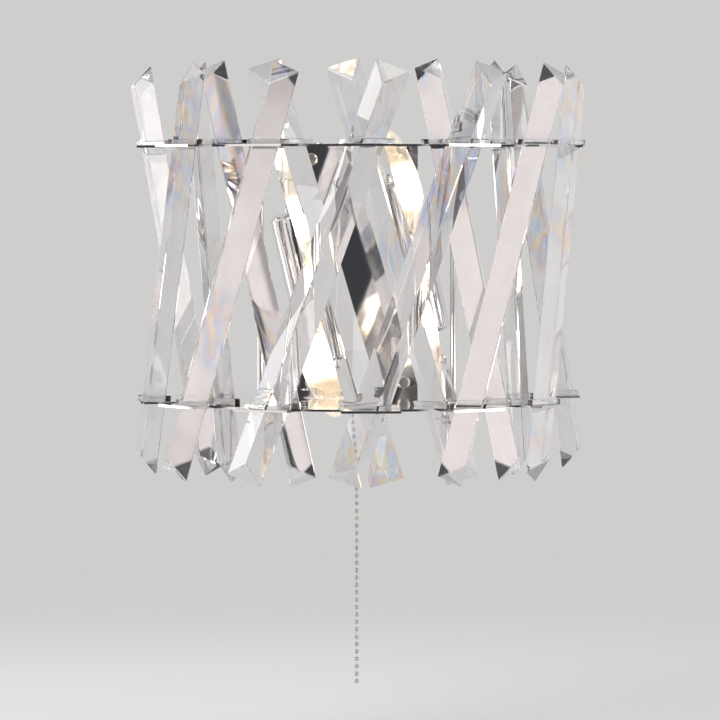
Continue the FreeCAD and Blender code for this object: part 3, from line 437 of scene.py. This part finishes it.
def turned(name, profile, closed=False, smooth_angle=35, ripple=None):
    """A form turned about Z from (radius, height) points; a closed profile is a ring.

    ripple(angle, height) is added to the radius, as for a screw thread.
    """
    work = bmesh.new()
    rings = []
    for radius, height in profile:
        if radius < 1e-7:
            rings.append([work.verts.new((0, 0, height))])
            continue
        ring = []
        for step in range(TURN_SEGMENTS):
            angle = 2 * math.pi * step / TURN_SEGMENTS
            wide = radius + (ripple(angle, height) if ripple else 0)
            ring.append(work.verts.new((wide * math.cos(angle), wide * math.sin(angle), height)))
        rings.append(ring)
    pairs = list(zip(rings, rings[1:])) + ([(rings[-1], rings[0])] if closed else [])
    for low, high in pairs:
        for step in range(TURN_SEGMENTS):
            after = (step + 1) % TURN_SEGMENTS
            corners = [low[step % len(low)], low[after % len(low)],
                       high[after % len(high)], high[step % len(high)]]
            face = list(dict.fromkeys(corners))
            if len(face) > 2:
                work.faces.new(face)
    return finished_mesh(name, work, smooth_angle)


def wire(name, lines, radius, sides=3):
    """Round wire along one or more lines of points, as a mesh."""
    curve = bpy.data.curves.new(name, "CURVE")
    curve.dimensions = "3D"
    curve.bevel_depth = radius
    curve.bevel_resolution = sides
    curve.use_fill_caps = True
    for points in lines:
        spline = curve.splines.new("POLY")
        spline.points.add(len(points) - 1)
        for point, place in zip(spline.points, points):
            point.co = (*place, 1.0)
    holder = bpy.data.objects.new(name, curve)
    mesh = bpy.data.meshes.new_from_object(holder)
    bpy.data.objects.remove(holder)
    bpy.data.curves.remove(curve)
    mesh.shade_smooth()
    return mesh


def arc(centre, radius, start, end, steps):
    """Points of an arc in a profile; angles in degrees, 0 outward and 90 up."""
    turns = [math.radians(start + (end - start) * step / steps) for step in range(steps + 1)]
    return [(centre[0] + radius * math.cos(turn), centre[1] + radius * math.sin(turn))
            for turn in turns]


def lamp_frame(side):
    """Origin at the sleeve's closed end, Z towards the bulb's tip."""
    sign = SIDES[side]
    direction = Vector((-sign * math.sin(LAMP_LEAN), 0, sign * math.cos(LAMP_LEAN)))
    start = RING_AXIS + Vector((sign * LAMP_X, 0, -sign * LAMP_Z))
    return Matrix.Translation(start) @ direction.to_track_quat("Z", "Y").to_matrix().to_4x4()


# ---------------------------------------------------------------- pieces

def crystal_bars():
    """The bars and the clear collars round them, with their edges ground."""
    for name in sorted(NODES):
        if "_crystal_" in name:
            stand_in(name + "_cut", eased(name, BAR_ARRIS), name)
        elif "_clips_" in name:
            stand_in(name + "_moulded", eased(name, CLIP_ARRIS), name)


def sleeve(side):
    """A drawn cup with a domed closed end and a rolled rim, and the cap nut that holds it."""
    place = lamp_frame(side)
    inner = SLEEVE_RADIUS - SLEEVE_WALL
    corner = SLEEVE_RADIUS - SLEEVE_ROUND
    outside = [(0, 0)] + arc((corner, SLEEVE_ROUND), SLEEVE_ROUND, -90, 0, 10)
    rim = arc((SLEEVE_RADIUS - SLEEVE_WALL / 2, SLEEVE_LENGTH - SLEEVE_WALL / 2),
              SLEEVE_WALL / 2, 0, 180, 6)
    inside = arc((corner, SLEEVE_ROUND), SLEEVE_ROUND - SLEEVE_WALL, 0, -90, 8)
    profile = outside + rim + [(inner, SLEEVE_LENGTH * 0.5)] + inside + [(0, SLEEVE_WALL)]
    stand_in(f"sleeve_{side}", turned("sleeve", profile), f"lamp_sleeve_{side}", place=place)

    dome = [(FINIAL_RADIUS * math.cos(turn),
             -NUT_SKIRT - (FINIAL_LENGTH - NUT_SKIRT) * math.sin(turn))
            for turn in (step * math.pi / 16 for step in range(8))]
    groove = [(FINIAL_RADIUS, NUT_GROOVE_HALF - NUT_GROOVE_AT),
              (NUT_GROOVE_RADIUS, -NUT_GROOVE_AT),
              (FINIAL_RADIUS, -NUT_GROOVE_HALF - NUT_GROOVE_AT)]
    nut = [(0, 0), (FINIAL_RADIUS, 0)] + groove + dome + [(0, -FINIAL_LENGTH)]
    stand_in(f"acorn_nut_{side}", turned("acorn_nut", nut), f"sleeve_cap_nut_{side}", place=place)


def bulb_outline(wall):
    """Half section of the glass at a distance inside its outer surface, neck to tip."""
    shoulder = []
    for step in range(SHOULDER_STEPS):
        share = step / SHOULDER_STEPS
        swell = share * share * (3 - 2 * share)
        shoulder.append((NECK_RADIUS - wall + (BELLY_RADIUS - NECK_RADIUS) * swell,
                         CAP_END + (BELLY_AT - CAP_END) * share))
    tip = BULB_TIP - wall - BELLY_AT
    dome = [((BELLY_RADIUS - wall) * math.cos(turn), BELLY_AT + tip * math.sin(turn))
            for turn in (step * math.pi / 2 / DOME_STEPS for step in range(DOME_STEPS))]
    return shoulder + dome + [(0, BELLY_AT + tip)]


def bulb(side):
    """Blown glass, threaded cap with its insulator and contact, stem, leads and coiled filament."""
    place = lamp_frame(side)
    outside, inside = bulb_outline(0), bulb_outline(GLASS_WALL)
    glass = turned("bulb_envelope", inside[::-1] + outside, smooth_angle=60)
    stand_in(f"bulb_envelope_{side}", glass, f"bulb_glass_{side}", place=place)

    thread_start = CAP_START + INSULATOR_LENGTH

    def thread(angle, height):
        wave = math.cos(2 * math.pi * (height - thread_start) / THREAD_PITCH - angle)
        return THREAD_DEPTH * (wave - 1) if thread_start < height < CAP_END - PLAIN_RIM else 0

    shell = [(CAP_RADIUS - SHELL_LIP, thread_start - THREAD_DEPTH)]
    shell += [(CAP_RADIUS, thread_start + (CAP_END - thread_start) * row / THREAD_ROWS)
              for row in range(THREAD_ROWS + 1)]
    shell += [(NECK_RADIUS - SHELL_LIP, CAP_END), (NECK_RADIUS - SHELL_LIP, thread_start)]
    threaded = turned("bulb_thread", shell, closed=True, smooth_angle=50, ripple=thread)
    stand_in(f"bulb_thread_{side}", threaded, f"bulb_cap_{side}", place=place)

    seat = thread_start + INSULATOR_SEAT
    cone = [(0, CAP_START + 0.0006), (0.0032, CAP_START + 0.0008), (0.0046, CAP_START + 0.0022),
            (0.0070, thread_start), (0.0060, seat), (0, seat)]
    stand_in(f"bulb_insulator_{side}", turned("bulb_insulator", cone), f"bulb_cap_{side}",
             BLACK_GLASS, place)

    drop = [(0, CAP_START)]
    drop += [(CONTACT_RADIUS * math.cos(turn), CAP_START + CONTACT_HEIGHT * (1 - math.sin(turn)))
             for turn in (math.pi / 2 * (1 - step / 6) for step in range(1, 7))]
    drop += [(0, CAP_START + CONTACT_HEIGHT)]
    stand_in(f"bulb_contact_{side}", turned("bulb_contact", drop), f"bulb_cap_{side}", TIN, place)
    filament(side, place)


def filament(side, place):
    """The pressed stem, two leads with a support between them, and the coil hung over it."""
    node = f"bulb_filament_{side}"
    stem = [(0, CAP_END), (0.0046, CAP_END), (0.0030, CAP_END + 0.004), (0.0020, STEM_TOP - 0.003),
            (0.0026, STEM_TOP - 0.001), (0.0018, STEM_TOP), (0, STEM_TOP)]
    stand_in(f"stem_{side}", turned("stem", stem), node, STEM_GLASS, place)
    leads = [[(sign * 0.0011, 0, STEM_TOP - 0.001), (sign * 0.0018, 0, STEM_TOP + 0.004),
              (sign * 0.0045, 0, FILAMENT_AT - 0.006), (sign * FILAMENT_HALF, 0, FILAMENT_AT)]
             for sign in SIDES.values()]
    support = [(0, 0, STEM_TOP), (0, 0, FILAMENT_AT + 0.0014), (0.0005, 0, FILAMENT_AT + 0.0018)]
    stand_in(f"leads_{side}", wire("leads", leads + [support], LEAD_WIRE), node,
             FINISHES["spring_steel"], place)

    per_turn = 8
    steps = FILAMENT_TURNS * per_turn
    line = []
    for step in range(steps + 1):
        share = step / steps
        along = FILAMENT_HALF * (2 * share - 1)
        rise = FILAMENT_RISE * abs(math.sin(2 * math.pi * share))
        angle = 2 * math.pi * step / per_turn
        line.append((along, FILAMENT_COIL * math.cos(angle),
                     FILAMENT_AT + rise + FILAMENT_COIL * math.sin(angle)))
    stand_in(f"filament_{side}", wire("filament_coil", [line], FILAMENT_WIRE, 1), node,
             place=place)


def bead_chain():
    """Round beads threaded on a wire, in the three lengths that swing on each other."""
    axis_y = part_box("chain_top")[0].y + BEAD_RADIUS
    for node, count in CHAIN_BEADS.items():
        low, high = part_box(node)
        lowest = low.z + BEAD_RADIUS
        work = bmesh.new()
        for bead in range(count):
            place = Matrix.Translation((0, axis_y, lowest + bead * BEAD_PITCH))
            bmesh.ops.create_uvsphere(work, u_segments=28, v_segments=18, radius=BEAD_RADIUS,
                                      matrix=place)
        stand_in(node + "_beads", finished_mesh(node + "_beads", work, 60), node)
        link = [(0, lowest), (LINK_RADIUS, lowest), (LINK_RADIUS, high.z), (0, high.z)]
        stand_in(node + "_links", turned(node + "_link", link), node,
                 FINISHES["rod_chrome"], Matrix.Translation((0, axis_y, 0)))


def return_spring():
    """The coil in the switch case, on a mesh of its own."""
    low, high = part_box("return_spring")
    middle = (low + high) / 2
    radius = (high.x - low.x) / 2 - SPRING_WIRE
    rise = high.z - low.z - 2 * SPRING_WIRE
    per_turn = 28
    steps = SPRING_TURNS * per_turn
    line = []
    for step in range(steps + 1):
        angle = 2 * math.pi * step / per_turn
        line.append((middle.x + radius * math.cos(angle), middle.y + radius * math.sin(angle),
                     low.z + SPRING_WIRE + rise * step / steps))
    coil = stand_in("return_coil", wire("return_coil", [line], SPRING_WIRE), "return_spring")
    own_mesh(coil)


def terminal_screws():
    """Brass clamp screws at the bottom of the terminal block's wells."""
    low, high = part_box("terminal_block")
    middle, size = (low + high) / 2, high - low
    facing_out = Matrix.Rotation(math.pi / 2, 4, "X")
    work = bmesh.new()
    for across in (-1, 1):
        for up in (-1, 1):
            place = Matrix.Translation((middle.x + across * size.x / 4, low.y + CLAMP_DEPTH,
                                        middle.z + up * size.z / 4))
            bmesh.ops.create_cone(work, cap_ends=True, segments=32, radius1=CLAMP_RADIUS,
                                  radius2=CLAMP_RADIUS * CLAMP_TAPER, depth=CLAMP_HEIGHT,
                                  matrix=place @ facing_out)
    stand_in("clamp_screws", finished_mesh("clamp_screws", work, 30), "terminal_block",
             FINISHES["socket_brass"], hides=False)


def dress_nodes():
    """Finishes on the nodes that are shown as they are."""
    for name, node in NODES.items():
        node.material_slots[0].material = FINISHES[SLOT_OF[name]]


# ---------------------------------------------------------------- stage, light and camera

def floor():
    """A pale round floor that fades out into the backdrop."""
    middle = Vector((0, RING_AXIS.y, cad_low.z - FLOOR_DROP))
    mesh = bpy.data.meshes.new("floor")
    corners = [(FLOOR_RADIUS * math.cos(turn), middle.y + FLOOR_RADIUS * math.sin(turn), middle.z)
               for turn in (2 * math.pi * step / FLOOR_CORNERS for step in range(FLOOR_CORNERS))]
    mesh.from_pydata(corners, [], [tuple(range(FLOOR_CORNERS))])
    finish = Finish("floor_pale")
    from_middle = finish.node("ShaderNodeVectorMath", {"operation": "DISTANCE"},
                              {0: finish.place(), 1: middle}, output="Value")
    matt = finish.node("ShaderNodeBsdfDiffuse", {}, {"Color": (*FLOOR, 1.0)})
    clear = finish.node("ShaderNodeBsdfTransparent")
    fade = finish.mask(from_middle, *(FLOOR_RADIUS * share for share in FLOOR_FADE))
    mesh.materials.append(finish.close(
        finish.node("ShaderNodeMixShader", {}, {0: fade, 1: matt, 2: clear})))
    piece = bpy.data.objects.new("floor", mesh)
    bpy.context.scene.collection.objects.link(piece)


def backdrop():
    """A pale world; metal and glass mirror a rosy room at the sides and a dark front instead."""
    world = bpy.data.worlds.new("studio")
    bpy.context.scene.world = world
    finish = Finish("studio", world)
    rays = finish.node("ShaderNodeLightPath").socket.node.outputs
    camera, glossy, through = (Value(finish, rays[name]) for name in
                               ("Is Camera Ray", "Is Glossy Ray", "Is Transmission Ray"))
    way = finish.node("ShaderNodeTexCoord", output="Generated")
    backward = finish.node("ShaderNodeSeparateXYZ", {}, {0: way}, output="Y")
    upward = finish.node("ShaderNodeSeparateXYZ", {}, {0: way}, output="Z")
    sides = finish.ramp(backward * 0.5 + 0.5, (0.0, (0, 0, 0)), (0.07, (0, 0, 0)),
                        (0.13, (1, 1, 1)), (0.58, (1, 1, 1)), (0.68, (0, 0, 0)))
    panels = finish.node("ShaderNodeTexNoise", {}, {"Vector": way, "Scale": 2.6, "Detail": 1.0})
    room = finish.blend(finish.mask(panels, 0.50, 0.62), ROOM, ROOM_SHADE)
    front_to_back = finish.blend(finish.mask(backward, -0.4, 0.4), DARK, BACKDROP)
    round_about = finish.blend(sides, front_to_back, room)
    mirrored = finish.blend(finish.mask(abs(upward), 0.45, 0.8), round_about, CEILING)
    seen = finish.blend(camera, mirrored, BACKDROP)
    either = finish.maths("MINIMUM", camera + glossy + through, 1.0)
    finish.close(finish.node("ShaderNodeBackground", {},
                             {"Color": finish.blend(either, AMBIENT, seen), "Strength": 1.0}))


def facing(name, data, place, aim):
    """A light or camera at a place, turned to face a point."""
    holder = bpy.data.objects.new(name, data)
    holder.location = place
    holder.rotation_mode = "QUATERNION"
    holder.rotation_quaternion = (aim - holder.location).to_track_quat("-Z", "Y")
    bpy.context.scene.collection.objects.link(holder)
    return holder


def studio_lights():
    for name, (place, size, power, colour) in SOFTBOXES.items():
        light = bpy.data.lights.new(name, "AREA")
        light.shape = "RECTANGLE"
        light.size, light.size_y = size
        light.energy = power
        light.color = colour
        facing(name, light, place, RING_AXIS)


def camera():
    """Far off and level with the top plate, a touch to the left, as the photograph was taken."""
    lens = bpy.data.cameras.new("camera")
    lens.sensor_width = SENSOR
    lens.lens = LENS
    aim = RING_AXIS + Vector((0, 0, AIM_HEIGHT))
    bpy.context.scene.camera = facing("camera", lens, CAMERA_PLACE, aim)


dress_nodes()
crystal_bars()
for lamp in SIDES:
    sleeve(lamp)
    bulb(lamp)
bead_chain()
return_spring()
terminal_screws()
floor()
backdrop()
studio_lights()
camera()
bpy.context.scene.view_settings.view_transform = "Standard"

bpy.context.view_layer.update()
